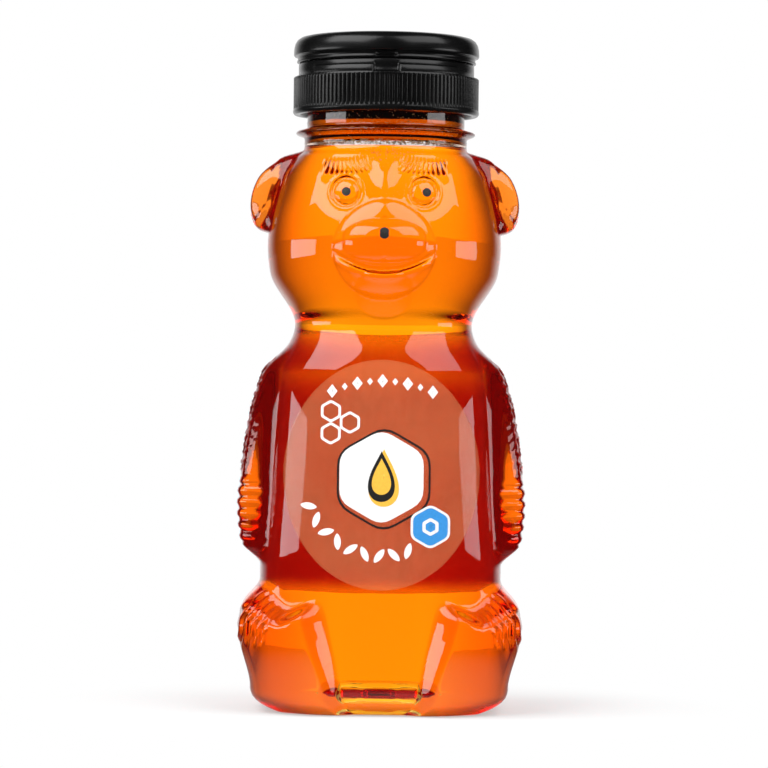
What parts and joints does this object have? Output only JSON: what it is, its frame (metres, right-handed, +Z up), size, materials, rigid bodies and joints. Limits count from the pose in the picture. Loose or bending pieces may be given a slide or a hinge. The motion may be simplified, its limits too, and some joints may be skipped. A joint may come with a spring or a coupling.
{
  "type": "honey bear bottle",
  "caption": "Clear squeeze bottle shaped as a seated bear, filled with honey, with a ribbed screw cap whose flip top lid opens on a moulded hinge.",
  "frame": {"origin": "on the table, under the middle of the bottle", "axes": "+Z up along the bottle, -Y towards the bear's front, +X towards the bear's left side"},
  "size_m": [0.0636, 0.0535, 0.1494],
  "materials": {
    "pet": "clear, polished",
    "honey": "clear amber liquid",
    "label_film": null,
    "label_back": "opaque film, plain",
    "ink": "printed black",
    "foam": "soft foam",
    "cap_black": "moulded, satin"
  },
  "bodies": {
    "bottle": {"bottle": "pet", "honey": "honey", "front_label": "label_film", "back_label": "label_back", "eye_prints": "ink", "nose_print": "ink"},
    "seal": {"seal_ring": "foam"},
    "cap": {"cap_base": "cap_black", "cap_hinge": "cap_black"},
    "lid": {"cap_lid": "cap_black"}
  },
  "joints": [
    {"name": "cap_lift", "type": "slide", "parent": "bottle", "child": "seal", "axis": [0, 0, 1], "range_m": [0, 0.0053]},
    {"name": "cap_turn", "type": "hinge", "parent": "seal", "child": "cap", "pos_m": [0, 0, 0.136], "axis": [0, 0, 1], "range_deg": [0, 450]},
    {"name": "lid_flip", "type": "hinge", "parent": "cap", "child": "lid", "pos_m": [0, 0.02075, 0.1434], "axis": [-1, 0, 0], "range_deg": [0, 140], "deforming": ["cap_hinge"]}
  ],
  "couplings": [
    {"joint": "cap_lift", "follows": "cap_turn", "m_per_rad": 0.0006737}
  ]
}
